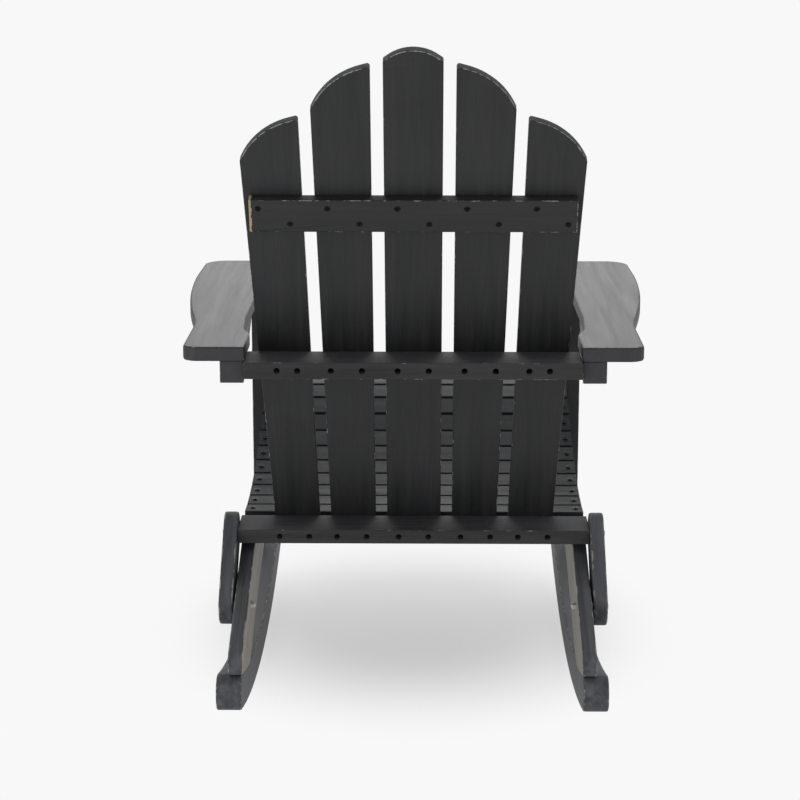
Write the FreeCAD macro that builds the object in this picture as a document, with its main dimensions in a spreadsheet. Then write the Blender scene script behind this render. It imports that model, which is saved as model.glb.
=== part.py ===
"""Rocking adirondack chair, in millimetres.

+Z is up, the front of the chair faces -Y, and the sitter's left hand is at +X.
The origin is on the floor, midway between the foremost and the rearmost point.
"""
import FreeCAD, Part
import math
import os
import re
import Sketcher

SIZES = {
    # boards and the frame under the seat
    "board": 21,
    "base_width": 518,
    "crossbar_rear": 222.5,
    "crossbar_top": 256,
    "crossbar_depth": 82,
    "middle_crossbar_thickness": 24,
    # back: five tapered slats on a plane that leans to the rear
    "back_lean": 22.5,
    "slat_thickness": 14,
    "slat_head_width": 81,
    "slat_foot_width": 67.5,
    "slat_gap": 17.3,
    "slat_foot_drop": 22,
    "crown_height": 780,
    "crown_rise": 17,
    "inner_head_height": 756,
    "outer_head_height": 677,
    "head_drop": 64,
    "head_bulge": 14,
    "slat_corner": 4,
    "upper_rail_height": 50.5,
    "upper_rail_thickness": 16,
    "upper_rail_level": 510.5,
    "upper_rail_length": 453,
    # arms and what carries them
    "arm_underside": 534,
    "arm_front": 427.5,
    "arm_rear": 331,
    "arm_rear_outer": 327,
    "arm_waist_outer": 326.5,
    "arm_rear_inner": 238.5,
    "arm_waist_inner": 254.5,
    "arm_paddle_outer": 365.5,
    "arm_corner": 38,
    "arm_front_taper": 3,
    "arm_bulge_start": 277.5,
    "arm_inner_taper": 4,
    "arm_notch_rear": 229,
    "arm_notch_front": 189,
    "arm_inner_bend": 96,
    "arm_outer_bend": 105,
    "arm_waist_front": 187,
    "arm_rear_corner": 20,
    "rail_rear_inner": 240,
    "rail_front_inner": 280,
    "rail_setback": 5,
    "crossbar_play": 0.1,
    "rail_width": 34,
    "rail_height": 32,
    "leg_width": 80,
    "leg_rear": 327.5,
    "leg_foot": 50,
    # seat: slats on a hollow, then a crest towards the front
    "seat_slat_width": 44,
    "seat_slat_thickness": 16,
    "seat_slat_gap": 5,
    "seat_slat_corner": 1.5,
    "seat_low_y": 71,
    "seat_low_z": 238,
    "hollow_radius": 840,
    "crest_radius": 400,
    "hollow_slats": 8,
    "crest_slats": 4,
    "apron_height": 70,
    # stringer: the long side board under the seat
    "stringer_low": 157,
    "stringer_front_low": 253,
    "tail_start": 160,
    "tail_setback": 5,
    "tail_end_rise": 26,
    "tail_round": 24,
    "tail_land": 137.5,
    # runners
    "runner_radius": 1800,
    "runner_contact": 0,
    "runner_height": 51,
    "runner_thickness": 36,
    "runner_inner": 240,
    "runner_nose": 455,
    "runner_front": 455,
    "nose_round": 24,
    "nose_ease": 18,
    # rear braces
    "brace_top_y": 192.5,
    "brace_top_z": 247,
    "brace_foot_setback": 162.5,
    "brace_foot_z": 162,
    "brace_half_width": 28,
    "brace_standoff": 3,
    # holes and bolts
    "screw_bore": 9,
    "screw_sink": 5,
    "screw_spread": 22,
    "screw_outer_offset": 7,
    "edge_bore_depth": 40,
    "rail_screw_low": 13,
    "rail_screw_high": 37.5,
    "bolt_shank": 6,
    "bolt_head": 14,
    "bolt_head_height": 3,
    "bolt_nut": 11,
    "bolt_nut_height": 5,
    "bolt_end": 2,
    "bolt_fit": 0.3,
    "leg_bolt_low": 268,
    "leg_bolt_gap": 50,
}

doc = FreeCAD.newDocument("RockingAdirondack")
sheet = doc.addObject("Spreadsheet::Sheet", "Sizes")
for row, (alias, number) in enumerate(SIZES.items(), start=1):
    sheet.set("A%d" % row, alias.replace("_", " "))
    sheet.set("B%d" % row, str(number))
    sheet.setAlias("B%d" % row, alias)
doc.recompute()

parts = {}


def bound(text):
    """Write the sheet's name before each alias of an expression."""
    return re.sub(r"[a-z][a-z_]+", lambda m: "Sizes." + m[0] if m[0] in SIZES else m[0], text)


def value(text):
    """The present value of an expression on the sheet's aliases."""
    result = sheet.evalExpression(bound(text))
    return float(getattr(result, "Value", result))


def new_body(name):
    """An empty body whose label names its file."""
    body = doc.addObject("PartDesign::Body", name)
    body.Label = name
    parts[name] = body
    return body


def place(body, x="0", y="0", z="0", tilt=None):
    """Bind the place of a body, and its turn about the X axis."""
    if tilt is not None:
        body.Placement = FreeCAD.Placement(FreeCAD.Vector(), FreeCAD.Rotation(FreeCAD.Vector(1, 0, 0), 1))
        body.setExpression("Placement.Rotation.Angle", bound(tilt))
    for axis, text in zip("xyz", (x, y, z)):
        body.setExpression("Placement.Base." + axis, bound(text))


def new_sketch(body, name, role, offset=None):
    """A sketch on one of the body's own planes, at an optional distance from it."""
    sketch = body.newObject("Sketcher::SketchObject", name)
    plane = [item for item in body.Origin.OriginFeatures if item.Role == role][0]
    sketch.AttachmentSupport = [(plane, "")]
    sketch.MapMode = "FlatFace"
    if offset is not None:
        sketch.setExpression("AttachmentOffset.Base.z", bound(offset))
    return sketch


def pin_point(sketch, geometry, position, corner):
    """Hold one end of an edge at a bound distance from the sketch's origin."""
    for kind, text in zip(("DistanceX", "DistanceY"), corner):
        index = sketch.addConstraint(Sketcher.Constraint(kind, -1, 1, geometry, position, value(text)))
        sketch.setExpression("Constraints[%d]" % index, bound(text))


def draw_outline(sketch, corners, arcs=None):
    """Draw a closed outline anticlockwise; arcs maps an edge's number to its radius,
    which starts with a minus where the edge curves inwards."""
    arcs = arcs or {}
    first = sketch.GeometryCount
    points = [FreeCAD.Vector(value(x), value(y), 0) for x, y in corners]
    ends = []
    for number, start in enumerate(points):
        end = points[(number + 1) % len(points)]
        if number not in arcs:
            sketch.addGeometry(Part.LineSegment(start, end), False)
            ends.append((1, 2))
            continue
        inward = arcs[number].startswith("-")
        radius_text = arcs[number].lstrip("-")
        radius, chord = value(radius_text), end - start
        rise = radius - math.sqrt(radius ** 2 - chord.Length ** 2 / 4)
        outward = FreeCAD.Vector(chord.y, -chord.x, 0).normalize()
        middle = (start + end) * 0.5 + outward * (-rise if inward else rise)
        sketch.addGeometry(Part.Arc(start, middle, end), False)
        ends.append((2, 1) if inward else (1, 2))
        index = sketch.addConstraint(Sketcher.Constraint("Radius", first + number, radius))
        sketch.setExpression("Constraints[%d]" % index, bound(radius_text))
    for number, corner in enumerate(corners):
        following = (number + 1) % len(corners)
        sketch.addConstraint(Sketcher.Constraint("Coincident", first + number, ends[number][1],
                                                 first + following, ends[following][0]))
        pin_point(sketch, first + number, ends[number][0], corner)


def draw_circles(sketch, centres, radius):
    """Draw one bound circle at each centre."""
    for centre in centres:
        point = FreeCAD.Vector(value(centre[0]), value(centre[1]), 0)
        index = sketch.addGeometry(Part.Circle(point, FreeCAD.Vector(0, 0, 1), value(radius)), False)
        pin_point(sketch, index, 3, centre)
        size = sketch.addConstraint(Sketcher.Constraint("Radius", index, value(radius)))
        sketch.setExpression("Constraints[%d]" % size, bound(radius))


def pad(body, sketch, length, name="Board", symmetric=False):
    """Give an outline its thickness."""
    feature = body.newObject("PartDesign::Pad", name)
    feature.Profile = sketch
    feature.setExpression("Length", bound(length))
    feature.Midplane = symmetric
    sketch.Visibility = False
    return feature


def drill(body, sketch, centres, radius, depth, along_normal):
    """Cut round holes of a bound depth from the plane of a sketch."""
    draw_circles(sketch, centres, radius)
    feature = body.newObject("PartDesign::Pocket", "Holes")
    feature.Profile = sketch
    feature.Reversed = along_normal
    feature.setExpression("Length", bound(depth))
    sketch.Visibility = False


def crown_radius(start, end, rise):
    """Radius text of an arc between two corners that rises by the given text."""
    chord = "(pow(%s - (%s); 2) + pow(%s - (%s); 2))" % (end[0], start[0], end[1], start[1])
    return "(%s / (8 * (%s)) + (%s) / 2)" % (chord, rise, rise)


def round_corners(body, base, radius, wanted):
    """Round the edges of a board whose middle point is wanted."""
    doc.recompute()
    names = ["Edge%d" % (number + 1) for number, edge in enumerate(base.Shape.Edges)
             if wanted(edge)]
    fillet = body.newObject("PartDesign::Fillet", "RoundedCorners")
    fillet.Base = (base, names)
    fillet.setExpression("Radius", bound(radius))
    return fillet


def runs_along(edge, axis):
    """True for a straight edge along the numbered axis."""
    if len(edge.Vertexes) != 2:
        return False
    run = edge.Vertexes[1].Point - edge.Vertexes[0].Point
    return abs(abs(run[axis]) - run.Length) < 1e-6


# Places that more than one piece shares, as expressions on the sheet.
HALF_BASE = "(base_width / 2)"
STRINGER_INNER = "(base_width / 2 - board)"
PLANE_Y = "(crossbar_rear - crossbar_depth)"
HOLLOW_TURN = "((seat_slat_width + seat_slat_gap) / hollow_radius * 180 / pi)"
CREST_TURN = "((seat_slat_width + seat_slat_gap) / crest_radius * 180 / pi)"
HOLLOW_END = "(" + HOLLOW_TURN + " * (hollow_slats - 1))"
JOIN_Y = "(seat_low_y - hollow_radius * sin(%s))" % HOLLOW_END
JOIN_Z = "(seat_low_z + hollow_radius * (1 - cos(%s)))" % HOLLOW_END
CREST_Y = "(%s - crest_radius * sin(%s))" % (JOIN_Y, HOLLOW_END)
CREST_Z = "(%s - crest_radius * cos(%s))" % (JOIN_Z, HOLLOW_END)
SEAT_FRONT_TURN = "(%s * crest_slats - %s)" % (CREST_TURN, HOLLOW_END)
SEAT_FRONT = "(%s - crest_radius * sin(%s))" % (CREST_Y, SEAT_FRONT_TURN)


def turned_over(corners, arcs=None):
    """The same outline for the other side of the chair, again anticlockwise."""
    count = len(corners)
    flipped = [("-(%s)" % x, y) for x, y in [corners[0]] + corners[:0:-1]]
    return flipped, {count - 1 - number: text for number, text in (arcs or {}).items()}


def tangent_radius(start, end):
    """Radius text of an arc that leaves one of its ends straight along Y."""
    across = "(%s - (%s))" % (start[0], end[0])
    along = "(%s - (%s))" % (start[1], end[1])
    return "((pow(%s; 2) + pow(%s; 2)) / (2 * abs(%s)))" % (across, along, across)


def runner_level(y, height):
    """Level of the runner's arc at y: its underside, or a line that far above it."""
    return "(runner_radius - sqrt(pow(runner_radius - (%s); 2) - pow(%s - runner_contact; 2)))" % (height, y)


def plane_y(level):
    """How far back the rear of the back slats lies at a level."""
    return "(%s + (%s - crossbar_top) * tan(back_lean))" % (PLANE_Y, level)


SIDES = (("left", 1), ("right", -1))


def side_place(body, side, inner, thickness):
    """Stand a side board between its inner plane and that plus its thickness."""
    if side > 0:
        place(body, x=inner)
    else:
        place(body, x="-(%s) - (%s)" % (inner, thickness))


# Back slats: the middle one has a round crown, the others fall off to the outside.
def back_frame(body):
    """Lean a body back with the slats; its own Z axis points forwards."""
    place(body, y=PLANE_Y, z="crossbar_top", tilt="90 - back_lean")


SLAT_EDGE = {
    "foot": ["slat_head_width / 2 + slat_gap",
             "slat_head_width / 2 + slat_gap * 2 + slat_foot_width"],
    "head": ["slat_head_width / 2 + slat_gap",
             "slat_head_width * 3 / 2 + slat_gap * 2"],
}
HEAD_LEVEL = ["inner_head_height", "outer_head_height"]


def slat_middle(number, level):
    """How far from the chair's middle the centre line of a tapered slat is at a level."""
    foot = "(%s + slat_foot_width / 2)" % SLAT_EDGE["foot"][number]
    head = "(%s + slat_head_width / 2)" % SLAT_EDGE["head"][number]
    reach = "(%s + slat_foot_drop) / (%s + slat_foot_drop)" % (level, HEAD_LEVEL[number])
    return "(%s + (%s - %s) * %s)" % (foot, head, foot, reach)


def back_slat(name, corners, arcs):
    body = new_body(name)
    sketch = new_sketch(body, name + "_outline", "XY_Plane")
    draw_outline(sketch, corners, arcs)
    feature = pad(body, sketch, "slat_thickness")
    round_corners(body, feature, "slat_corner", lambda edge: runs_along(edge, 2) and edge.Vertexes[0].Y > 0)
    back_frame(body)
    return body


shoulder = "crown_height - crown_rise"
middle = [("-slat_head_width / 2", "-slat_foot_drop"), ("slat_head_width / 2", "-slat_foot_drop"),
          ("slat_head_width / 2", shoulder), ("-slat_head_width / 2", shoulder)]
back_slat("back_slat_middle", middle, {2: crown_radius(middle[2], middle[3], "crown_rise")})
for which, number in (("inner", 0), ("outer", 1)):
    foot, head, level = SLAT_EDGE["foot"][number], SLAT_EDGE["head"][number], HEAD_LEVEL[number]
    corners = [(foot, "-slat_foot_drop"), (foot + " + slat_foot_width", "-slat_foot_drop"),
               (head + " + slat_head_width", level + " - head_drop"), (head, level)]
    arcs = {2: crown_radius(corners[2], corners[3], "head_bulge")}
    back_slat("back_slat_left_" + which, corners, arcs)
    back_slat("back_slat_right_" + which, *turned_over(corners, arcs))

# Upper back rail: a batten behind the slats, with two sunk screws in each of them.
rail = new_body("upper_back_rail")
outline = new_sketch(rail, "upper_rail_outline", "XY_Plane", "-upper_rail_thickness")
rail_top = "upper_rail_level + upper_rail_height"
draw_outline(outline, [("-upper_rail_length / 2", "upper_rail_level"),
                       ("upper_rail_length / 2", "upper_rail_level"),
                       ("upper_rail_length / 2", rail_top), ("-upper_rail_length / 2", rail_top)])
pad(rail, outline, "upper_rail_thickness")
low_screw, high_screw = "upper_rail_level + rail_screw_low", "upper_rail_level + rail_screw_high"
slat_lines = ["0"]
for number in (0, 1):
    line = slat_middle(number, "upper_rail_level")
    slat_lines += [line, "-" + line]
rail_screws = []
for line in slat_lines:
    rail_screws += [(line + " + screw_spread", high_screw), (line + " - screw_spread", low_screw)]
rear_face = new_sketch(rail, "upper_rail_holes", "XY_Plane", "-upper_rail_thickness")
drill(rail, rear_face, rail_screws, "screw_bore / 2", "screw_sink", True)
back_frame(rail)


# Crossbars: flat boards whose front edge is bevelled to the lean of the back.
def crossbar(name, top, thickness, length, outer_offset):
    body = new_body(name)
    sketch = new_sketch(body, name + "_section", "YZ_Plane")
    bottom = "(%s - %s)" % (top, thickness)
    rear = "(%s + crossbar_depth)" % plane_y(top)
    draw_outline(sketch, [(plane_y(bottom), bottom), (rear, bottom), (rear, top), (plane_y(top), top)])
    pad(body, sketch, length, symmetric=True)
    level = "%s - %s / 2" % (top, thickness)
    centres = [("screw_spread", level), ("-screw_spread", level)]
    for number, outward in ((0, "screw_spread"), (1, outer_offset)):
        line = slat_middle(number, "(%s - crossbar_top) / cos(back_lean)" % top)
        for across in (line + " - screw_spread", line + " + " + outward):
            centres += [(across, level), ("-(%s)" % across, level)]
    rear_edge = new_sketch(body, name + "_holes", "XZ_Plane", "-" + rear)
    drill(body, rear_edge, centres, "screw_bore / 2", "edge_bore_depth", True)


crossbar("lower_crossbar", "crossbar_top", "board", "base_width + 2 * brace_standoff", "screw_spread")
crossbar("middle_crossbar", "arm_underside", "middle_crossbar_thickness",
         "(rail_rear_inner - crossbar_play) * 2", "screw_outer_offset")

# Arms: a wide paddle in front, a waist, and a flare at the rear.
ARM_CORNERS = [("arm_rear_inner", "arm_rear"), ("arm_rear_inner", "arm_notch_rear"),
               ("arm_waist_inner - arm_inner_taper", "arm_notch_front"),
               ("arm_waist_inner", "arm_inner_bend"),
               ("arm_waist_inner - arm_inner_taper", "-arm_front"),
               ("arm_paddle_outer - arm_front_taper", "-arm_front"),
               ("arm_paddle_outer", "-arm_bulge_start"),
               ("(arm_paddle_outer + arm_waist_outer * 5) / 6", "arm_outer_bend"),
               ("arm_waist_outer", "arm_waist_front"), ("arm_rear_outer", "arm_rear")]
ARM_ARCS = {6: tangent_radius(ARM_CORNERS[6], ARM_CORNERS[7]),
            7: "-" + tangent_radius(ARM_CORNERS[8], ARM_CORNERS[7])}


def outer_corner(edge, x, y):
    """True for the upright edge of an arm at that distance from the middle."""
    point = edge.Vertexes[0].Point
    away = abs(abs(point.x) - value(x)) + abs(point.y - value(y))
    return runs_along(edge, 2) and away < 0.01


for side, sign in SIDES:
    arm = new_body(side + "_arm")
    outline = new_sketch(arm, side + "_arm_outline", "XY_Plane")
    draw_outline(outline, *((ARM_CORNERS, ARM_ARCS) if sign > 0 else turned_over(ARM_CORNERS, ARM_ARCS)))
    board = pad(arm, outline, "board")
    front = round_corners(arm, board, "arm_corner",
                          lambda edge: outer_corner(edge, "arm_paddle_outer - arm_front_taper", "-arm_front"))
    round_corners(arm, front, "arm_rear_corner",
                  lambda edge: outer_corner(edge, "arm_rear_outer", "arm_rear"))
    place(arm, z="arm_underside")

# Front legs, outside the stringers; the foot is let into the runner.
LEG_FRONT = "(-leg_rear - leg_width)"
LEG_BOLTS = [("-leg_rear - leg_width / 2", "leg_bolt_low"),
             ("-leg_rear - leg_width / 2", "leg_bolt_low + leg_bolt_gap")]
BOLT_HOLE = "bolt_shank / 2 + bolt_fit"
BRACE_FOOT_Y = "(runner_nose - brace_foot_setback)"
TAIL_BOLT = [(BRACE_FOOT_Y, "brace_foot_z")]
for side, sign in SIDES:
    leg = new_body(side + "_front_leg")
    outline = new_sketch(leg, side + "_leg_outline", "YZ_Plane")
    draw_outline(outline, [(LEG_FRONT, "leg_foot"), ("-leg_rear", "leg_foot"),
                           ("-leg_rear", "arm_underside"), (LEG_FRONT, "arm_underside")])
    pad(leg, outline, "board")
    drill(leg, new_sketch(leg, side + "_leg_holes", "YZ_Plane"), LEG_BOLTS, BOLT_HOLE, "board", True)
    side_place(leg, sign, HALF_BASE, "board")

# Arm rails: battens under the arms that splay to the front and are housed over the legs.
RAIL_REAR = "(arm_rear - rail_setback)"
for side, sign in SIDES:
    batten = new_body(side + "_arm_rail")
    outline = new_sketch(batten, side + "_arm_rail_outline", "XY_Plane")
    plan = [("rail_rear_inner", RAIL_REAR), ("rail_front_inner", LEG_FRONT),
            ("rail_front_inner + rail_width", LEG_FRONT), ("rail_rear_inner + rail_width", RAIL_REAR)]
    draw_outline(outline, plan if sign > 0 else turned_over(plan)[0])
    pad(batten, outline, "rail_height")
    housing = new_sketch(batten, side + "_rail_housing", "XY_Plane")
    notch = [(HALF_BASE, LEG_FRONT + " - board"), (HALF_BASE + " + board", LEG_FRONT + " - board"),
             (HALF_BASE + " + board", "-leg_rear"), (HALF_BASE, "-leg_rear")]
    draw_outline(housing, notch if sign > 0 else turned_over(notch)[0])
    cut = batten.newObject("PartDesign::Pocket", "LegHousing")
    cut.Profile = housing
    cut.Reversed = True
    cut.setExpression("Length", "Sizes.rail_height")
    place(batten, z="arm_underside - rail_height")


# Seat slats: the rear ones lie in the hollow, the front ones over the crest.
def seat_slat(number, y, z, turn):
    body = new_body("seat_slat_%02d" % number)
    sketch = new_sketch(body, "slat_section_%02d" % number, "YZ_Plane")
    draw_outline(sketch, [("-seat_slat_width / 2", "0"), ("seat_slat_width / 2", "0"),
                          ("seat_slat_width / 2", "seat_slat_thickness"),
                          ("-seat_slat_width / 2", "seat_slat_thickness")])
    feature = pad(body, sketch, "base_width", symmetric=True)
    round_corners(body, feature, "seat_slat_corner",
                  lambda edge: runs_along(edge, 0) and edge.Vertexes[0].Z > 1)
    place(body, y=y, z=z, tilt="-(%s)" % turn)


chord_radius = "sqrt(pow(hollow_radius; 2) - pow(seat_slat_width / 2; 2))"
for number in range(int(SIZES["hollow_slats"])):
    turn = "(%s * (%d - 0.5))" % (HOLLOW_TURN, number)
    seat_slat(number + 1, "seat_low_y - %s * sin(%s)" % (chord_radius, turn),
              "seat_low_z + hollow_radius - %s * cos(%s)" % (chord_radius, turn), turn)
for number in range(int(SIZES["crest_slats"])):
    turn = "(%s - %s * (%d + 0.5))" % (HOLLOW_END, CREST_TURN, number)
    seat_slat(int(SIZES["hollow_slats"]) + number + 1, "%s + crest_radius * sin(%s)" % (CREST_Y, turn),
              "%s + crest_radius * cos(%s)" % (CREST_Z, turn), turn)

# Stringers: the side boards that carry the seat and run down to the runners.
STRINGER_FRONT = "(%s + board)" % SEAT_FRONT
STRINGER_TOP = "(%s + sqrt(pow(crest_radius; 2) - pow(%s - %s; 2)))" % (CREST_Z, STRINGER_FRONT, CREST_Y)
TAIL_LAND = "(runner_nose - tail_land)"
TAIL_END = "(runner_nose - tail_setback)"
TAIL_HEIGHT = "(runner_height + bolt_fit)"
TAIL_TIP = "(%s + tail_end_rise)" % runner_level(TAIL_END, TAIL_HEIGHT)
LEDGE = "(crossbar_top - board)"
SEAT_REAR = "(seat_low_y + hollow_radius * sin(%s))" % HOLLOW_TURN
SEAT_REAR_TOP = "(seat_low_z + hollow_radius * (1 - cos(%s)))" % HOLLOW_TURN
STRINGER_CORNERS = [(STRINGER_FRONT, "stringer_front_low"), ("seat_low_y", "stringer_low"),
                    (TAIL_LAND, runner_level(TAIL_LAND, TAIL_HEIGHT)),
                    (TAIL_END, runner_level(TAIL_END, TAIL_HEIGHT)),
                    (TAIL_END, TAIL_TIP), ("tail_start", LEDGE), (SEAT_REAR, LEDGE),
                    (SEAT_REAR, SEAT_REAR_TOP), (JOIN_Y, JOIN_Z), (STRINGER_FRONT, STRINGER_TOP)]
STRINGER_ARCS = {2: "runner_radius - " + TAIL_HEIGHT, 7: "-hollow_radius", 8: "crest_radius"}
for side, sign in SIDES:
    stringer = new_body(side + "_seat_stringer")
    outline = new_sketch(stringer, side + "_stringer_outline", "YZ_Plane")
    draw_outline(outline, STRINGER_CORNERS, STRINGER_ARCS)
    board = pad(stringer, outline, "board")
    round_corners(stringer, board, "tail_round", lambda edge: runs_along(edge, 0)
                  and abs(edge.Vertexes[0].Y - value(TAIL_END)) < 0.01
                  and edge.Vertexes[0].Z > value(TAIL_TIP) - 0.01)
    drill(stringer, new_sketch(stringer, side + "_stringer_holes", "YZ_Plane"),
          LEG_BOLTS + TAIL_BOLT, BOLT_HOLE, "board", True)
    side_place(stringer, sign, STRINGER_INNER, "board")

# Front apron, across the ends of the stringers and under the first slat.
apron = new_body("front_apron")
outline = new_sketch(apron, "apron_section", "YZ_Plane")
apron_top = "(%s + sqrt(pow(crest_radius; 2) - pow(%s - %s; 2)) - bolt_fit)" % (CREST_Z, SEAT_FRONT, CREST_Y)
draw_outline(outline, [(SEAT_FRONT, apron_top + " - apron_height"),
                       (STRINGER_FRONT, apron_top + " - apron_height"),
                       (STRINGER_FRONT, apron_top), (SEAT_FRONT, apron_top)])
pad(apron, outline, "base_width", symmetric=True)

# Runners: curved boards, two boards thick, with a rounded nose at each end.
RUNNER_FRONT = "(-runner_front)"
for side, sign in SIDES:
    runner = new_body(side + "_runner")
    outline = new_sketch(runner, side + "_runner_outline", "YZ_Plane")
    draw_outline(outline, [(RUNNER_FRONT, runner_level(RUNNER_FRONT, "0")),
                           ("runner_nose", runner_level("runner_nose", "0")),
                           ("runner_nose", runner_level("runner_nose", "runner_height")),
                           (RUNNER_FRONT, runner_level(RUNNER_FRONT, "runner_height"))],
                 {0: "runner_radius", 2: "-(runner_radius - runner_height)"})
    blank = pad(runner, outline, "runner_thickness", "Blank")
    nose = round_corners(runner, blank, "nose_round", lambda edge: runs_along(edge, 0)
                         and edge.Vertexes[0].Z > value(runner_level("runner_nose", "0")) + 1)
    round_corners(runner, nose, "nose_ease", lambda edge: runs_along(edge, 0)
                  and edge.Vertexes[0].Z < value(runner_level("runner_nose", "0")) + 1
                  and abs(edge.Vertexes[0].Y) > value("min(runner_nose; runner_front)") - 0.01)
    outer_part = "(runner_thickness + runner_inner - %s)" % HALF_BASE
    housing = new_sketch(runner, side + "_foot_housing", "YZ_Plane",
                         HALF_BASE + " - runner_inner" if sign > 0 else outer_part)
    over = "leg_foot + runner_height * 2"
    draw_outline(housing, [(LEG_FRONT, "leg_foot"), ("-leg_rear", "leg_foot"),
                           ("-leg_rear", over), (LEG_FRONT, over)])
    cut = runner.newObject("PartDesign::Pocket", "FootHousing")
    cut.Profile = housing
    cut.Reversed = sign > 0
    cut.setExpression("Length", bound(outer_part))
    side_place(runner, sign, "runner_inner", "runner_thickness")

# Rear braces: short round-ended boards against the ends of the lower crossbar. Its overhang
# keeps them clear of the stringers, and a ring on each bolt fills that gap at the foot.

# A hair over half the width, because an exact half circle has no single solution.
ROUND_END = "(brace_half_width + 0.001)"


def brace_corners():
    """Four corners of a straight board between its two round ends."""
    run_y, run_z = "(%s - brace_top_y)" % BRACE_FOOT_Y, "(brace_foot_z - brace_top_z)"
    length = "sqrt(pow(%s; 2) + pow(%s; 2))" % (run_y, run_z)
    across_y = "(%s * brace_half_width / %s)" % (run_z, length)
    across_z = "(%s * brace_half_width / %s)" % (run_y, length)
    return [("brace_top_y + " + across_y, "brace_top_z - " + across_z),
            (BRACE_FOOT_Y + " + " + across_y, "brace_foot_z - " + across_z),
            (BRACE_FOOT_Y + " - " + across_y, "brace_foot_z + " + across_z),
            ("brace_top_y - " + across_y, "brace_top_z + " + across_z)]


for side, sign in SIDES:
    brace = new_body(side + "_rear_brace")
    outline = new_sketch(brace, side + "_brace_outline", "YZ_Plane")
    draw_outline(outline, brace_corners(), {1: ROUND_END, 3: ROUND_END})
    pad(brace, outline, "board")
    drill(brace, new_sketch(brace, side + "_brace_holes", "YZ_Plane"), TAIL_BOLT, BOLT_HOLE, "board", True)
    side_place(brace, sign, HALF_BASE + " + brace_standoff", "board")



# Bolts: round heads outside, shanks through both boards, hexagon nuts against the stringers.
def bolts(name, centres, standoff):
    body = new_body(name)
    body.AllowCompound = True
    outside = "%s + board + %s" % (HALF_BASE, standoff)
    rods = new_sketch(body, name + "_shanks", "YZ_Plane", outside)
    draw_circles(rods, centres, "bolt_shank / 2")
    shanks = pad(body, rods, "board * 2 + %s + bolt_nut_height + bolt_end" % standoff, "Shanks")
    shanks.Reversed = True
    caps = new_sketch(body, name + "_heads", "YZ_Plane", outside)
    draw_circles(caps, centres, "bolt_head / 2")
    heads = pad(body, caps, "bolt_head_height", "Heads")
    rings = new_sketch(body, name + "_nuts", "YZ_Plane", STRINGER_INNER)
    for across, up in centres:
        draw_outline(rings, [("%s + bolt_nut / 2 * cos(%d)" % (across, turn),
                              "%s + bolt_nut / 2 * sin(%d)" % (up, turn)) for turn in range(0, 360, 60)])
    nuts = pad(body, rings, "bolt_nut_height", "Nuts")
    nuts.Reversed = True
    turned = [shanks, heads, nuts]
    if standoff != "0":
        washers = new_sketch(body, name + "_spacers", "YZ_Plane", HALF_BASE)
        draw_circles(washers, centres, "bolt_head / 2")
        turned.append(pad(body, washers, standoff, "Spacers"))
    mirror = body.newObject("PartDesign::Mirrored", "OtherSide")
    mirror.Originals = turned
    plane = [item for item in body.Origin.OriginFeatures if item.Role == "YZ_Plane"][0]
    mirror.MirrorPlane = (plane, [""])
    body.Tip = mirror


bolts("leg_bolts", LEG_BOLTS, "0")
bolts("tail_bolts", TAIL_BOLT, "brace_standoff")

doc.recompute()
os.makedirs("parts", exist_ok=True)
for item in doc.Objects:
    if "Invalid" in item.State or "Error" in item.State:
        raise RuntimeError("%s failed: %s" % (item.Label, item.State))
for name, body in parts.items():
    shape = body.Shape
    if shape.isNull() or not shape.isValid():
        raise RuntimeError(name + " has no valid shape")
    body.Shape.exportStep("parts/%s.step" % name)
volume = sum(body.Shape.Volume for body in parts.values())
balance = sum(body.Shape.Volume * body.Shape.CenterOfGravity.y for body in parts.values()) / volume
print(len(parts), "nodes,", round(volume / 1e6, 2), "litres")
print("balances", round(balance, 1), "mm behind the middle")
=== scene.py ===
"""Rocking adirondack chair in charcoal-stained wood, seen from behind, in metres."""

import math
import random

import bmesh
import bpy
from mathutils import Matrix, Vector


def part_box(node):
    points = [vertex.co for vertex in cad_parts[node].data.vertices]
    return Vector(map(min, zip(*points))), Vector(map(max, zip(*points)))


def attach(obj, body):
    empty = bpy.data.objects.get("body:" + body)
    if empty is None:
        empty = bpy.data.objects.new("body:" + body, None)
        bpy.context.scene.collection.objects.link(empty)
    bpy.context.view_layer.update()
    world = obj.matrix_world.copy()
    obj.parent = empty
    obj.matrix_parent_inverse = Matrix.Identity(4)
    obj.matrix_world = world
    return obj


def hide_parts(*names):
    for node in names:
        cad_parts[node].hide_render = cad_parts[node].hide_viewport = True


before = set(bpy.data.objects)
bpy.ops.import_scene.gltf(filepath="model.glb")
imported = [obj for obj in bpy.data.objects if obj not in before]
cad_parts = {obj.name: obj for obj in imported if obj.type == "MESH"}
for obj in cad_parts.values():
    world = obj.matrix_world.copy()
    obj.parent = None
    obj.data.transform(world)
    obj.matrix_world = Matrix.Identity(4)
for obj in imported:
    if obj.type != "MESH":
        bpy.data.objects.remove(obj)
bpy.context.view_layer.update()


# Back slats: five tapered softwood boards that fan out and lean back, each 14 mm thick, their
# heads sawn to a crown. They are sawn, eased by hand, stained and screwed on from the rear.
def linear(hex_colour):
    """Linear RGBA of an sRGB hex colour."""
    channels = [int(hex_colour[place:place + 2], 16) / 255 for place in (1, 3, 5)]
    return [c / 12.92 if c <= 0.04045 else ((c + 0.055) / 1.055) ** 2.4 for c in channels] + [1.0]


def node(tree, kind, **settings):
    """Add one node; sockets are set by name, properties by their own name."""
    made = tree.nodes.new(kind)
    for name, setting in settings.items():
        if hasattr(made, name):
            setattr(made, name, setting)
        else:
            made.inputs[name.replace("_", " ")].default_value = setting
    return made


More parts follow.
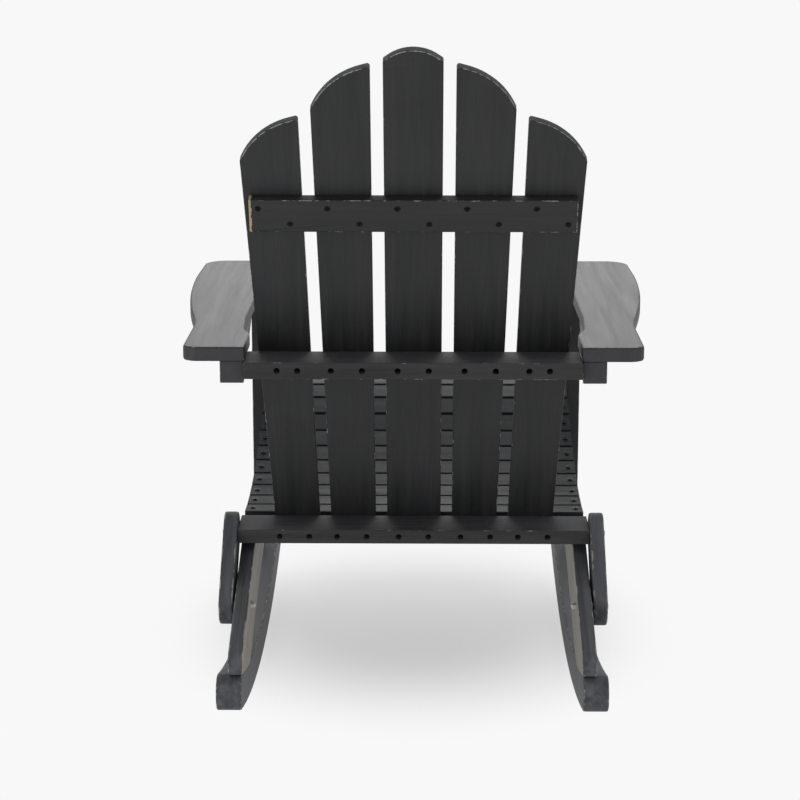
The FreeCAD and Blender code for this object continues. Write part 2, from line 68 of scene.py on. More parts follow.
def stained_wood(name, dark, light, worn_and_highlight, end_tone=0.62, gloss=0.34, rough=(0.5, 0.66)):
    """Softwood, sawn and wiped with a pigmented stain. To the eye it is nearly matt: the grain
    shows as long soft streaks, cut ends take more stain, and rubbed edges show the wood."""
    material = bpy.data.materials.new(name)
    material.use_nodes = True
    tree = material.node_tree
    shader = tree.nodes["Principled BSDF"]
    link = tree.links.new
    board = node(tree, "ShaderNodeAttribute", attribute_name="grain")
    edge = node(tree, "ShaderNodeAttribute", attribute_name="wear")
    cut_end = node(tree, "ShaderNodeAttribute", attribute_name="end_grain")

    # Bands of growth rings: about 14 mm wide and 300 mm long on a flat-sawn face.
    long_grain = node(tree, "ShaderNodeMapping", Scale=(3.2, 70, 70))
    link(board.outputs["Vector"], long_grain.inputs["Vector"])
    figure = node(tree, "ShaderNodeTexNoise", Scale=1.0, Detail=5.0, Roughness=0.62, Distortion=0.35)
    link(long_grain.outputs[0], figure.inputs["Vector"])
    # Fibres are 0.04 mm thick, too fine to show, and are drawn as streaks 1.1 mm wide, 70 mm long.
    fine_grain = node(tree, "ShaderNodeMapping", Scale=(14, 900, 900))
    link(board.outputs["Vector"], fine_grain.inputs["Vector"])
    fibre = node(tree, "ShaderNodeTexNoise", Scale=1.0, Detail=3.0, Roughness=0.6)
    link(fine_grain.outputs[0], fibre.inputs["Vector"])
    # Stain wiped on by hand leaves patches about a hand wide, 110 mm.
    cloud = node(tree, "ShaderNodeTexNoise", Scale=9.0, Detail=3.0)
    link(board.outputs["Vector"], cloud.inputs["Vector"])

    tone = node(tree, "ShaderNodeValToRGB")
    tone.color_ramp.elements[0].position = 0.34
    tone.color_ramp.elements[0].color = linear(dark)
    tone.color_ramp.elements[1].position = 0.68
    tone.color_ramp.elements[1].color = linear(light)
    link(figure.outputs["Fac"], tone.inputs["Fac"])
    streak = node(tree, "ShaderNodeMapRange", From_Min=0.35, From_Max=0.7, To_Min=0.85, To_Max=1.11)
    link(fibre.outputs["Fac"], streak.inputs["Value"])
    patch = node(tree, "ShaderNodeMapRange", From_Min=0.3, From_Max=0.7, To_Min=0.88, To_Max=1.1)
    link(cloud.outputs["Fac"], patch.inputs["Value"])
    depth = node(tree, "ShaderNodeMath", operation="MULTIPLY")
    link(streak.outputs[0], depth.inputs[0])
    link(patch.outputs[0], depth.inputs[1])
    soaked = node(tree, "ShaderNodeMapRange", From_Min=0.4, From_Max=0.8, To_Min=1.0, To_Max=end_tone)
    link(cut_end.outputs["Fac"], soaked.inputs["Value"])
    deeper = node(tree, "ShaderNodeMath", operation="MULTIPLY")
    link(depth.outputs[0], deeper.inputs[0])
    link(soaked.outputs[0], deeper.inputs[1])
    stain = node(tree, "ShaderNodeVectorMath", operation="SCALE")
    link(tone.outputs["Color"], stain.inputs[0])
    link(deeper.outputs[0], stain.inputs["Scale"])

    # Rubbed stretches of an edge: about 17 mm long and 6 mm across.
    chip_size = node(tree, "ShaderNodeMapping", Scale=(60, 160, 160))
    link(board.outputs["Vector"], chip_size.inputs["Vector"])
    chips = node(tree, "ShaderNodeTexNoise", Scale=1.0, Detail=4.0, Roughness=0.65)
    link(chip_size.outputs[0], chips.inputs["Vector"])
    uneven = node(tree, "ShaderNodeMapRange", From_Min=0.36, From_Max=0.64, To_Min=0.05, To_Max=0.85)
    link(chips.outputs["Fac"], uneven.inputs["Value"])
    # Where the edge value is high, as along the slats' crowns, these marks join into a painted
    # highlight line in the worn colour.
    wear_and_highlight_reach = node(tree, "ShaderNodeMath", operation="MULTIPLY_ADD")
    wear_and_highlight_reach.inputs[1].default_value = 0.5
    link(edge.outputs["Fac"], wear_and_highlight_reach.inputs[0])
    link(uneven.outputs[0], wear_and_highlight_reach.inputs[2])
    wear_and_highlight_share = node(tree, "ShaderNodeMapRange", From_Min=1.0, From_Max=1.08, To_Max=0.8)
    link(wear_and_highlight_reach.outputs[0], wear_and_highlight_share.inputs["Value"])
    raw_share = node(tree, "ShaderNodeMapRange", From_Min=1.9, From_Max=2.3)
    link(edge.outputs["Fac"], raw_share.inputs["Value"])
    raw_wood = "#b59a6c"
    wear_and_highlight_colour = node(tree, "ShaderNodeMix", data_type="RGBA", A=linear(worn_and_highlight), B=linear(raw_wood))
    link(raw_share.outputs[0], wear_and_highlight_colour.inputs["Factor"])
    colour = node(tree, "ShaderNodeMix", data_type="RGBA")
    link(wear_and_highlight_share.outputs[0], colour.inputs["Factor"])
    link(stain.outputs[0], colour.inputs["A"])
    link(wear_and_highlight_colour.outputs["Result"], colour.inputs["B"])
    link(colour.outputs["Result"], shader.inputs["Base Color"])

    dullness = node(tree, "ShaderNodeMapRange", From_Min=0.3, From_Max=0.7, To_Min=rough[0],
                    To_Max=rough[1])
    link(figure.outputs["Fac"], dullness.inputs["Value"])
    link(dullness.outputs[0], shader.inputs["Roughness"])
    relief = node(tree, "ShaderNodeBump", Strength=0.32, Distance=0.0006)
    link(fibre.outputs["Fac"], relief.inputs["Height"])
    link(relief.outputs[0], shader.inputs["Normal"])
    shader.inputs["Specular IOR Level"].default_value = gloss
    return material


# Charcoal is neutral and dark with warm grey wood at the edges. The slats are a touch cooler, and
# their heads were stained as thinly as their faces.
charcoal = stained_wood("charcoal_stained_wood", "#1e1e1f", "#29292a", "#a39c90")
# The slats' cool grey edge colour is worn wood on their sides and a painted highlight along the rear
# edges of their crowns.
slat_stain = stained_wood("slat_charcoal_wood", "#1e1f20", "#2a2a2c", "#97999d", end_tone=0.9)


def sawn_board(name, along, material=charcoal, edge_round=0.0016, rubbed_and_highlight=lambda place: 1.0, cut=None,
               housed=lambda place: False):
    """The CAD board with eased edges and its grain along one direction. The edges get a share by
    their place that marks them as worn and, along the slats' crowns, paints a highlight; a cut
    plane adds corners where that share changes. Edges in a housing stay sharp."""
    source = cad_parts[name]
    mesh = source.data.copy()
    mesh.name = name + "_board"
    form = bmesh.new()
    form.from_mesh(mesh)
    wear = form.verts.layers.float.new("wear")
    grain = form.verts.layers.float_vector.new("grain")
    end_grain = form.faces.layers.float.new("end_grain")
    same_point, same_plane = 1e-6, math.radians(0.1)
    bmesh.ops.remove_doubles(form, verts=form.verts, dist=same_point)
    bmesh.ops.dissolve_limit(form, angle_limit=same_plane, verts=form.verts, edges=form.edges)
    if cut:
        whole = form.verts[:] + form.edges[:] + form.faces[:]
        bmesh.ops.bisect_plane(form, geom=whole, plane_co=cut[0], plane_no=cut[1])
    form.normal_update()
    sharp, shortest = math.radians(30), 0.0018
    corners = [edge for edge in form.edges
               if len(edge.link_faces) == 2 and edge.calc_face_angle(0) > sharp
               and edge.calc_length() > shortest
               and not housed((edge.verts[0].co + edge.verts[1].co) / 2)]
    eased = bmesh.ops.bevel(form, geom=corners, offset=edge_round, segments=2, profile=0.6,
                            affect="EDGES", clamp_overlap=False)
    rounded = set(eased["faces"])
    lengthwise = Vector(along).normalized()
    aside = Vector((1, 0, 0)) if abs(lengthwise.x) < 0.9 else Vector((0, 1, 0))
    through = lengthwise.cross(aside).normalized()
    aside = through.cross(lengthwise)
    # Each board comes from its own place in the log, so no two show the same figure.
    pick = random.Random(name)
    shift = Vector([pick.uniform(0, 9) for _ in range(3)])
    for vert in form.verts:
        place = vert.co
        on_edge = all(face in rounded for face in vert.link_faces)
        vert[wear] = rubbed_and_highlight(place) if on_edge else 0.0
        vert[grain] = Vector((place.dot(lengthwise), place.dot(aside), place.dot(through))) + shift
    for face in form.faces:
        face.smooth = True
        face[end_grain] = abs(face.normal.dot(lengthwise))
    form.to_mesh(mesh)
    form.free()
    mesh.set_sharp_from_angle(angle=math.radians(50))
    mesh.materials.clear()
    mesh.materials.append(material)
    board = bpy.data.objects.new(name + "_board", mesh)
    bpy.context.scene.collection.objects.link(board)
    shading = board.modifiers.new("even_shading", "WEIGHTED_NORMAL")
    shading.keep_sharp = True
    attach(board, "root")
    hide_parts(name)
    return board


# How far down each head its crown reaches, how strong the painted highlight along the crown's
# rear edge is, and how hard hands and weather have rubbed the other edges.
LEAN = math.radians(22.5)
CROWN_PAINTED_HIGHLIGHT = 1.9
SIDES_RUBBED = 0.75
CROWN_HEIGHTS = {"middle": 0.03, "left_inner": 0.09, "right_inner": 0.09,
                 "left_outer": 0.09, "right_outer": 0.09}
up_the_back = Vector((0, math.sin(LEAN), math.cos(LEAN)))
out_of_the_back = Vector((0, math.cos(LEAN), -math.sin(LEAN)))


def crown_highlight_and_side_wear(place):
    """The rear edge of the crown gets a painted highlight; the other edges are worn."""
    just_above = 0.001
    on_crown = place.z > head + just_above and place.dot(out_of_the_back) > half_way
    return CROWN_PAINTED_HIGHLIGHT if on_crown else SIDES_RUBBED


for slat, crown_height in CROWN_HEIGHTS.items():
    slat_name = "back_slat_" + slat
    depths = [vert.co.dot(out_of_the_back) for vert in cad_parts[slat_name].data.vertices]
    half_way = (min(depths) + max(depths)) / 2
    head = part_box(slat_name)[1].z - crown_height
    sawn_board(slat_name, up_the_back, slat_stain, cut=((0, 0, head), (0, 0, 1)), rubbed_and_highlight=crown_highlight_and_side_wear)

# Upper back rail: a narrow batten across the rear of the slats, screwed twice into each.
# It is of the same stained softwood, and its left end is worn down to the bare wood.
BARE_WOOD = 2.6
BARE_LENGTH = 0.0045
EDGE_LENGTH = 0.002
rail_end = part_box("upper_back_rail")[1].x
rail = sawn_board("upper_back_rail", (1, 0, 0), cut=((rail_end - BARE_LENGTH, 0, 0), (1, 0, 0)))
for vert, worn_and_highlight in zip(rail.data.vertices, rail.data.attributes["wear"].data):
    if vert.co.x > rail_end - EDGE_LENGTH:
        worn_and_highlight.value = BARE_WOOD

# Crossbars: two flat boards behind the slats, one level with the arms, one on the stringers.
# Both are screwed to the slats from deep bores in their rear edges. Their tops get a paler and
# quite matt copy of the stain; the paleness is painted light on the upward faces.
def given_finish(board, material, outward):
    """Give the board's faces that look one way a material of their own."""
    board.data.materials.append(material)
    for face in board.data.polygons:
        if face.normal.dot(Vector(outward)) > 0.95:
            face.material_index = 1


bar_stain = stained_wood("crossbar_stained_wood", "#2a2a2b", "#373738", "#8f897e", 0.9, 0.2)
lit_top_stain = stained_wood("lit_top_bar_wood", "#3b3b3d", "#4b4b4e", "#8f897e", 0.9, 0.16,
                             rough=(0.68, 0.8))
for bar, rubbing in (("middle_crossbar", 0.9), ("lower_crossbar", 0.8)):
    crossbar = sawn_board(bar, (1, 0, 0), bar_stain, rubbed_and_highlight=lambda place: rubbing)
    # The upward faces take the paler copy: painted light on the tops.
    given_finish(crossbar, lit_top_stain, (0, 0, 1))

# Arms: wide boards sawn to a paddle in front and a flare behind, on battens and the front legs.
# Hands have rubbed them smooth: soft edges, little grain and a low shine from the sky.
arm_stain = stained_wood("arm_stained_wood", "#252528", "#2d2d30", "#8f8c86", 1.15, 0.41,
                         rough=(0.53, 0.61))
for side in ("left", "right"):
    sawn_board(side + "_arm", (0, 1, 0), arm_stain, 0.0036, rubbed_and_highlight=lambda place: 0.5)
    sawn_board(side + "_arm_rail", (0, 1, 0), arm_stain, rubbed_and_highlight=lambda place: 0.9)
    sawn_board(side + "_front_leg", (0, 0, 1))

# Seat: twelve narrow slats, numbered from the rear, over a hollow and a rounded front, screwed to
# the stringers, and an apron that closes the front. The slats are the darkest and bluest boards;
# part of their darkness is painted shade under the back.
SEAT_SLATS = ["seat_slat_%02d" % number for number in range(1, 13)]
seat_stain_and_shade = stained_wood("slate_stain_and_shade_wood", "#191a1c", "#26282b", "#978b72", gloss=0.12)
for slat_name in SEAT_SLATS:
    sawn_board(slat_name, (1, 0, 0), seat_stain_and_shade, 0.0012, rubbed_and_highlight=lambda place: 1.4)
sawn_board("front_apron", (1, 0, 0))

# Stringers, rear braces and runners: the side frames that carry the seat and let it rock, sawn
# from wide boards and bolted. Stain sits thinner on them, and the outsides are slate grey. The
# stringers' inner faces get a lighter, warm grey copy of the stain: painted light from the floor.
lit_inner_face_stain = stained_wood("lit_inner_face_wood", "#67655f", "#9b958a", "#b9b0a1", 1.0)
outer_stain = stained_wood("outer_side_stained_wood", "#3b3c40", "#5a5b5f", "#97928a", 1.0, 0.2)
ALONG_STRINGER = (0, 1, -0.35)
ALONG_BRACE = (0, 0.773, -0.634)
leg_low, leg_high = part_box("left_front_leg")
AROUND_LEG = 0.001


def in_leg_housing(place):
    """The runners' outer faces are cut away there for the front legs."""
    return (abs(place.x) > leg_low.x + AROUND_LEG
            and leg_low.y - AROUND_LEG < place.y < leg_high.y + AROUND_LEG)


for side, inward in (("left", -1), ("right", 1)):
    stringer = sawn_board(side + "_seat_stringer", ALONG_STRINGER, outer_stain, 0.0028,
                          rubbed_and_highlight=lambda place: 1.25)
    # The inner faces take the lighter copy: painted light from the floor.
    given_finish(stringer, lit_inner_face_stain, (inward, 0, 0))
    sawn_board(side + "_rear_brace", ALONG_BRACE, outer_stain, 0.0035, rubbed_and_highlight=lambda place: 1.25)
    sawn_board(side + "_runner", (0, 1, 0), outer_stain, 0.0032, rubbed_and_highlight=lambda place: 1.15,
               housed=in_leg_housing)

# Screws: black cross-headed wood screws, sunk into the rails and crossbars and flush in the seat.
# One tree makes the head once and sets a copy at each point, turned to face out of the wood.
def group_socket(tree, name, kind, value=None):
    """One named input of a node group."""
    socket = tree.interface.new_socket(name, in_out="INPUT", socket_type=kind)
    if value is not None:
        socket.default_value = value


def set_at_points(tree, given, piece):
    """Copies of one piece at the tree's points, turned to each point's axis, as plain mesh."""
    link = tree.links.new
    tree.interface.new_socket("Fixings", in_out="OUTPUT", socket_type="NodeSocketGeometry")
    axis = node(tree, "GeometryNodeInputNamedAttribute", data_type="FLOAT_VECTOR", Name="axis")
    turn = node(tree, "FunctionNodeAlignRotationToVector")
    link(axis.outputs["Attribute"], turn.inputs["Vector"])
    spots = node(tree, "GeometryNodeMeshToPoints")
    link(given.outputs["Points"], spots.inputs["Mesh"])
    copies = node(tree, "GeometryNodeInstanceOnPoints")
    link(spots.outputs[0], copies.inputs["Points"])
    link(piece, copies.inputs["Instance"])
    link(turn.outputs[0], copies.inputs["Rotation"])
    whole = node(tree, "GeometryNodeRealizeInstances")
    link(copies.outputs[0], whole.inputs[0])
    paint = node(tree, "GeometryNodeSetMaterial")
    link(whole.outputs[0], paint.inputs["Geometry"])
    link(given.outputs["Finish"], paint.inputs["Material"])
    link(paint.outputs[0], node(tree, "NodeGroupOutput").inputs["Fixings"])


def screw_tree():
    """Points with an axis attribute become screw heads with a cut cross."""
    tree = bpy.data.node_groups.new("screw_heads", "GeometryNodeTree")
    link = tree.links.new
    group_socket(tree, "Points", "NodeSocketGeometry")
    group_socket(tree, "Head radius", "NodeSocketFloat", 0.004)
    group_socket(tree, "Head height", "NodeSocketFloat", 0.003)
    group_socket(tree, "Slot width", "NodeSocketFloat", 0.0011)
    group_socket(tree, "Finish", "NodeSocketMaterial")
    given = node(tree, "NodeGroupInput")
    head = node(tree, "GeometryNodeMeshCone", Vertices=24)
    link(given.outputs["Head radius"], head.inputs["Radius Top"])
    shank = node(tree, "ShaderNodeMath", operation="MULTIPLY")
    shank.inputs[1].default_value = 0.55
    link(given.outputs["Head radius"], shank.inputs[0])
    link(shank.outputs[0], head.inputs["Radius Bottom"])
    link(given.outputs["Head height"], head.inputs["Depth"])
    slot_length = node(tree, "ShaderNodeMath", operation="MULTIPLY")
    slot_length.inputs[1].default_value = 1.25
    link(given.outputs["Head radius"], slot_length.inputs[0])
    slots = []
    for order in (("length", "width"), ("width", "length")):
        size = node(tree, "ShaderNodeCombineXYZ")
        for axis, part in zip("XY", order):
            source = slot_length.outputs[0] if part == "length" else given.outputs["Slot width"]
            link(source, size.inputs[axis])
        link(given.outputs["Head height"], size.inputs["Z"])
        block = node(tree, "GeometryNodeMeshCube")
        link(size.outputs[0], block.inputs["Size"])
        slots.append(block)
    lift = node(tree, "ShaderNodeCombineXYZ")
    link(given.outputs["Head height"], lift.inputs["Z"])
    cut = node(tree, "GeometryNodeMeshBoolean", operation="DIFFERENCE")
    link(head.outputs["Mesh"], cut.inputs["Mesh 1"])
    for block in slots:
        raised = node(tree, "GeometryNodeTransform")
        link(block.outputs["Mesh"], raised.inputs["Geometry"])
        link(lift.outputs[0], raised.inputs["Translation"])
        link(raised.outputs[0], cut.inputs["Mesh 2"])
    set_at_points(tree, given, cut.outputs["Mesh"])
    return tree


def grown(name, tree, places, settings):
    """Run a tree on points, each with its axis, and keep the result as a plain mesh."""
    seeds = bpy.data.meshes.new(name + "_points")
    seeds.from_pydata([place for place, _ in places], [], [])
    axis = seeds.attributes.new("axis", "FLOAT_VECTOR", "POINT")
    for item, (_, direction) in zip(axis.data, places):
        item.vector = Vector(direction).normalized()
    made = bpy.data.objects.new(name, seeds)
    bpy.context.scene.collection.objects.link(made)
    grow = made.modifiers.new("grow", "NODES")
    grow.node_group = tree
    for socket in tree.interface.items_tree:
        if socket.item_type == "SOCKET" and socket.in_out == "INPUT" and socket.name in settings:
            grow[socket.identifier] = settings[socket.name]
    bpy.context.view_layer.update()
    plain = bpy.data.meshes.new_from_object(made.evaluated_get(bpy.context.evaluated_depsgraph_get()))
    made.modifiers.clear()
    made.data = plain
    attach(made, "root")
    return made


def plated_steel(name, dark, bright, metallic, specks_per_metre, detail, rough):
    """Plated steel: one metal whose tone and gloss change a little from speck to speck."""
    steel = bpy.data.materials.new(name)
    steel.use_nodes = True
    tree = steel.node_tree
    shader = tree.nodes["Principled BSDF"]
    shader.inputs["Metallic"].default_value = metallic
    place = node(tree, "ShaderNodeTexCoord")
    speckle = node(tree, "ShaderNodeTexNoise", Scale=specks_per_metre, Detail=detail)
    tree.links.new(place.outputs["Object"], speckle.inputs["Vector"])
    tint = node(tree, "ShaderNodeValToRGB")
    tint.color_ramp.elements[0].color = linear(dark)
    tint.color_ramp.elements[1].color = linear(bright)
    tree.links.new(speckle.outputs["Fac"], tint.inputs["Fac"])
    tree.links.new(tint.outputs["Color"], shader.inputs["Base Color"])
    gloss = node(tree, "ShaderNodeMapRange", To_Min=rough[0], To_Max=rough[1])
    tree.links.new(speckle.outputs["Fac"], gloss.inputs["Value"])
    tree.links.new(gloss.outputs[0], shader.inputs["Roughness"])
    return steel


# Steel, zinc-plated and blackened: dark and satin. The plating's crystals are under 0.1 mm and are
# drawn as specks of 1.1 mm.
black_zinc = plated_steel("blackened_zinc_steel", "#0c0c0d", "#1d1d1e", 0.7, 900.0, 2.0, (0.35, 0.6))


def faces_towards(name, outward):
    """The CAD board's triangles that face one way, each with its height that way, highest first."""
    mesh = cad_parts[name].data
    facing = [face for face in mesh.polygons if face.normal.dot(outward) > 0.9]
    return sorted(((face.center.dot(outward), face) for face in facing), key=lambda pair: -pair[0])


def middle_of(faces):
    """Centre of some triangles, weighed by area."""
    area = sum(face.area for face in faces)
    return sum((face.center * face.area for face in faces), Vector()) / area


def bore_floors(name, outward, shallow, one_bore=0.009):
    """Centres of the bores' floors, which lie deeper than a depth below the board's face. Triangles
    nearer than one_bore share a floor."""
    ordered = faces_towards(name, outward)
    surface = ordered[0][0]
    floors = []
    for height, face in ordered:
        if height > surface - shallow:
            continue
        for group in floors:
            if (group[0].center - face.center).length < one_bore:
                group.append(face)
                break
        else:
            floors.append([face])
    return [middle_of(group) for group in floors]


SEAT_HEAD_SUNK = 0.0011
stringer_low, stringer_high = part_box("left_seat_stringer")
over_stringer = (stringer_low.x + stringer_high.x) / 2
seat_screws = []
for slat_name in SEAT_SLATS:
    top = faces_towards(slat_name, Vector((0, 0, 1)))
    largest = max((face for _, face in top), key=lambda face: face.area)
    flat = [face for _, face in top if face.normal.dot(largest.normal) > 0.9999]
    lowered = middle_of(flat) - largest.normal * SEAT_HEAD_SUNK
    for across in (over_stringer, -over_stringer):
        seat_screws.append(((across, lowered.y, lowered.z), largest.normal))
heads = screw_tree()
sunk = {"Head radius": 0.0042, "Head height": 0.003, "Slot width": 0.0012, "Finish": black_zinc}
grown("seat_screws", heads, seat_screws, sunk)

COUNTERSINK = 0.003
DEEP_BORE = 0.02
backwards = Vector((0, 1, 0))
rail_screws = [(floor, out_of_the_back)
               for floor in bore_floors("upper_back_rail", out_of_the_back, COUNTERSINK)]
bar_screws = [(floor, backwards) for bar in ("middle_crossbar", "lower_crossbar")
              for floor in bore_floors(bar, backwards, DEEP_BORE)]
grown("back_screws", heads, rail_screws + bar_screws, sunk)

# Places along the depth and the height; the same on both sides.
BRACE_SCREWS = ((0.1775, 0.245), (0.1975, 0.245))
BRACE_HEAD = 0.0024
brace_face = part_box("left_rear_brace")[1].x
brace_screws = [((side * brace_face, y, z), (side, 0, 0)) for y, z in BRACE_SCREWS for side in (1, -1)]
grown("brace_screws", heads, brace_screws, dict(sunk, **{"Head height": BRACE_HEAD}))

# Bolts: zinc-plated carriage bolts with low domed heads outside and hexagon nuts inside. Four
# hold the legs to the stringers; two hold the braces, with a ring between brace and stringer.
def bolt_tree():
    """Points with an outward axis attribute become bolts that run inwards from a domed head."""
    tree = bpy.data.node_groups.new("carriage_bolts", "GeometryNodeTree")
    link = tree.links.new
    group_socket(tree, "Points", "NodeSocketGeometry")
    for name in ("Head radius", "Head height", "Shank radius", "Length", "Nut radius",
                 "Nut height", "Nut place", "Ring height", "Ring place"):
        group_socket(tree, name, "NodeSocketFloat", 0.001)
    group_socket(tree, "Has ring", "NodeSocketBool", False)
    group_socket(tree, "Finish", "NodeSocketMaterial")
    given = node(tree, "NodeGroupInput")

    def rod(radius, height, place, sides):
        """A cylinder that starts at a depth below the head and runs inwards."""
        cylinder = node(tree, "GeometryNodeMeshCylinder", Vertices=sides)
        link(given.outputs[radius], cylinder.inputs["Radius"])
        link(given.outputs[height], cylinder.inputs["Depth"])
        centre = node(tree, "ShaderNodeMath", operation="MULTIPLY_ADD")
        link(given.outputs[height], centre.inputs[0])
        centre.inputs[1].default_value = -0.5
        if place:
            start = node(tree, "ShaderNodeMath", operation="MULTIPLY")
            link(given.outputs[place], start.inputs[0])
            start.inputs[1].default_value = -1
            link(start.outputs[0], centre.inputs[2])
        else:
            centre.inputs[2].default_value = 0
        drop = node(tree, "ShaderNodeCombineXYZ")
        link(centre.outputs[0], drop.inputs["Z"])
        moved = node(tree, "GeometryNodeTransform")
        link(cylinder.outputs["Mesh"], moved.inputs["Geometry"])
        link(drop.outputs[0], moved.inputs["Translation"])
        return moved.outputs[0]

    ball = node(tree, "GeometryNodeMeshUVSphere", Segments=24, Rings=12, Radius=1.0)
    flattened = node(tree, "ShaderNodeCombineXYZ")
    link(given.outputs["Head radius"], flattened.inputs["X"])
    link(given.outputs["Head radius"], flattened.inputs["Y"])
    link(given.outputs["Head height"], flattened.inputs["Z"])
    dome = node(tree, "GeometryNodeTransform")
    link(ball.outputs["Mesh"], dome.inputs["Geometry"])
    link(flattened.outputs[0], dome.inputs["Scale"])
    ring = node(tree, "GeometryNodeSwitch", input_type="GEOMETRY")
    link(given.outputs["Has ring"], ring.inputs["Switch"])
    link(rod("Head radius", "Ring height", "Ring place", 24), ring.inputs["True"])
    bolt = node(tree, "GeometryNodeJoinGeometry")
    for piece in (dome.outputs[0], rod("Shank radius", "Length", None, 20),
                  rod("Nut radius", "Nut height", "Nut place", 6), ring.outputs[0]):
        link(piece, bolt.inputs[0])
    set_at_points(tree, given, bolt.outputs[0])
    return tree


# Steel, zinc-plated by electrolysis: bright and slightly uneven. The real bloom of the plating is
# about 1 mm across and is drawn at 2.4 mm.
zinc = plated_steel("zinc_plated_steel", "#a9a9a6", "#d2d1cd", 1.0, 420.0, 3.0, (0.2, 0.45))

BOARD = stringer_high.x - stringer_low.x
STAND_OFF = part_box("left_rear_brace")[0].x - stringer_high.x
DOME_HEIGHT = 0.003
NUT_HEIGHT = 0.005
PAST_NUT = 0.002
# Places along the depth and the height; the same on both sides.
BRACE_BOLTS = ((0.2925, 0.162),)
LEG_BOLTS = ((-0.3675, 0.268), (-0.3675, 0.318))
carriage = bolt_tree()
for node_name, centres, ring in (("leg_bolts", LEG_BOLTS, 0), ("tail_bolts", BRACE_BOLTS, STAND_OFF)):
    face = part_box(node_name)[1].x - DOME_HEIGHT
    places = [((side * face, y, z), (side, 0, 0)) for y, z in centres for side in (1, -1)]
    grip = 2 * BOARD + ring
    sizes = {"Head radius": 0.007, "Head height": DOME_HEIGHT, "Shank radius": 0.003,
             "Length": grip + NUT_HEIGHT + PAST_NUT, "Nut radius": 0.0055, "Nut height": NUT_HEIGHT,
             "Nut place": grip, "Ring height": max(ring, 0.001), "Ring place": BOARD,
             "Has ring": bool(ring), "Finish": zinc}
    bolts = grown(node_name + "_turned", carriage, places, sizes)
    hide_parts(node_name)

# Studio: a pale seamless paper floor, broad soft lamps and the camera of the photograph. The
# paper is matt and keeps the chair's shadow, which fades into the white around it.
BACKGROUND = linear("#f8f8f8")
floor_mesh = bpy.data.meshes.new("studio_floor")
REACH = 30
floor_mesh.from_pydata([(-REACH, -REACH, 0), (REACH, -REACH, 0), (REACH, REACH, 0), (-REACH, REACH, 0)],
                       [], [(0, 1, 2, 3)])
floor = bpy.data.objects.new("studio_floor", floor_mesh)
bpy.context.scene.collection.objects.link(floor)
paper = bpy.data.materials.new("seamless_paper")
paper.use_nodes = True
tree = paper.node_tree
matt = tree.nodes["Principled BSDF"]
matt.inputs["Base Color"].default_value = linear("#f4f4f4")
matt.inputs["Roughness"].default_value = 0.95
matt.inputs["Specular IOR Level"].default_value = 0.0
# Painted light: for the camera and in reflections the paper glows in the background colour, 46 % of it
# in the middle under the chair and all of it from 0.45 m out. This lightens the chair's shadow and
# fades it out around the chair.
place = node(tree, "ShaderNodeTexCoord")
under_chair = node(tree, "ShaderNodeMapping", Location=(0, 0.1, 0), Scale=(1, 0.8, 1))
tree.links.new(place.outputs["Object"], under_chair.inputs["Vector"])
distance = node(tree, "ShaderNodeVectorMath", operation="LENGTH")
tree.links.new(under_chair.outputs[0], distance.inputs[0])
shadow_lift = node(tree, "ShaderNodeMapRange", From_Min=0.14, From_Max=0.45, To_Min=0.46,
            interpolation_type="SMOOTHSTEP")
tree.links.new(distance.outputs["Value"], shadow_lift.inputs["Value"])
rays = node(tree, "ShaderNodeLightPath")
seen = node(tree, "ShaderNodeMath", operation="MAXIMUM")
tree.links.new(rays.outputs["Is Camera Ray"], seen.inputs[0])
tree.links.new(rays.outputs["Is Glossy Ray"], seen.inputs[1])
share = node(tree, "ShaderNodeMath", operation="MULTIPLY")
tree.links.new(shadow_lift.outputs[0], share.inputs[0])
tree.links.new(seen.outputs[0], share.inputs[1])
glow = node(tree, "ShaderNodeEmission", Color=BACKGROUND, Strength=1.0)
blend = node(tree, "ShaderNodeMixShader")
tree.links.new(share.outputs[0], blend.inputs["Fac"])
tree.links.new(matt.outputs[0], blend.inputs[1])
tree.links.new(glow.outputs[0], blend.inputs[2])
tree.links.new(blend.outputs[0], tree.nodes["Material Output"].inputs["Surface"])
floor_mesh.materials.append(paper)

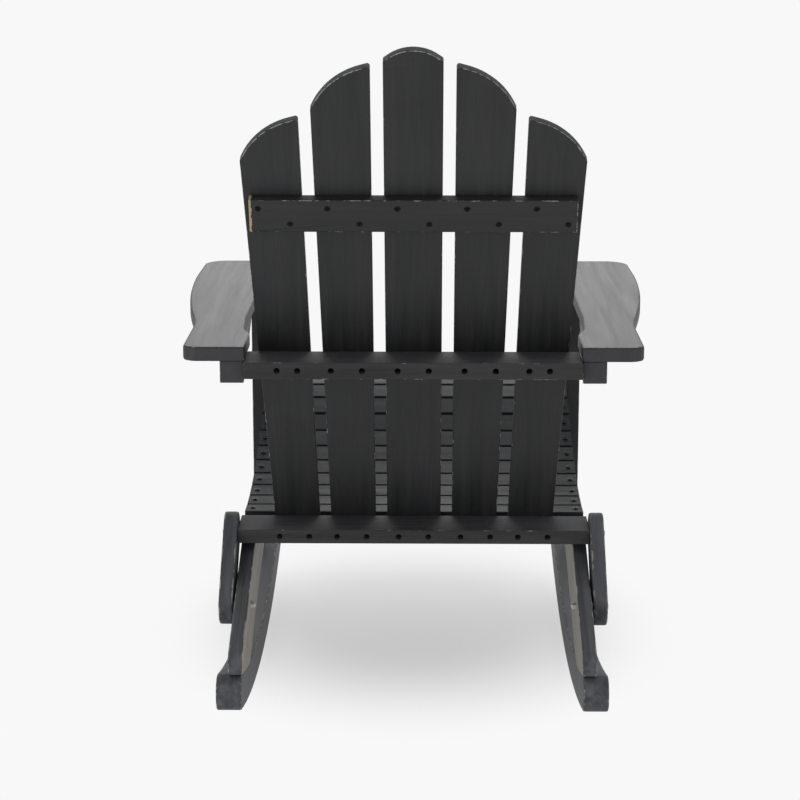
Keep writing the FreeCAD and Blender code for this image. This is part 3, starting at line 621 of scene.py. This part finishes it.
world = bpy.data.worlds.new("studio_white")
bpy.context.scene.world = world
world.use_nodes = True
tree = world.node_tree
sky = tree.nodes["Background"]
sky.inputs["Color"].default_value = (1, 1, 1, 1)
sky.inputs["Strength"].default_value = 0.74
backdrop = node(tree, "ShaderNodeBackground", Color=BACKGROUND, Strength=1.0)
rays = node(tree, "ShaderNodeLightPath")
blend = node(tree, "ShaderNodeMixShader")
tree.links.new(rays.outputs["Is Camera Ray"], blend.inputs["Fac"])
tree.links.new(sky.outputs[0], blend.inputs[1])
tree.links.new(backdrop.outputs[0], blend.inputs[2])
tree.links.new(blend.outputs[0], tree.nodes["World Output"].inputs["Surface"])


def soft_lamp(name, place, target, size, power):
    """A square soft box that looks at a point."""
    lamp = bpy.data.lights.new(name, "AREA")
    lamp.shape = "SQUARE"
    lamp.size = size
    lamp.energy = power
    made = bpy.data.objects.new(name, lamp)
    bpy.context.scene.collection.objects.link(made)
    made.location = place
    made.rotation_euler = (Vector(target) - Vector(place)).to_track_quat("-Z", "Y").to_euler()


soft_lamp("front_softbox", (0, -3.0, 2.0), (0, 0, 0.4), 2.4, 48)
soft_lamp("left_low_softbox", (1.3, 1.6, 0.35), (0, 0.2, 0.15), 0.7, 5.9)
soft_lamp("right_low_softbox", (-1.3, 1.6, 0.35), (0, 0.2, 0.15), 0.7, 3.1)

# The camera stands behind the chair and looks 12.8 degrees down, as the boards' edges tell.
SENSOR_WIDTH = 36
FOCAL_LENGTH = 101.54
CAMERA_PLACE = (-0.0206, 3.4463, 1.1882)
CAMERA_HEADING = Vector((0.0123, -0.975, -0.2219))
lens = bpy.data.cameras.new("photo_camera")
lens.sensor_width = SENSOR_WIDTH
lens.lens = FOCAL_LENGTH
camera = bpy.data.objects.new("photo_camera", lens)
bpy.context.scene.collection.objects.link(camera)
camera.location = CAMERA_PLACE
camera.rotation_euler = CAMERA_HEADING.to_track_quat("-Z", "Y").to_euler()
bpy.context.scene.camera = camera
bpy.context.scene.view_settings.view_transform = "Standard"
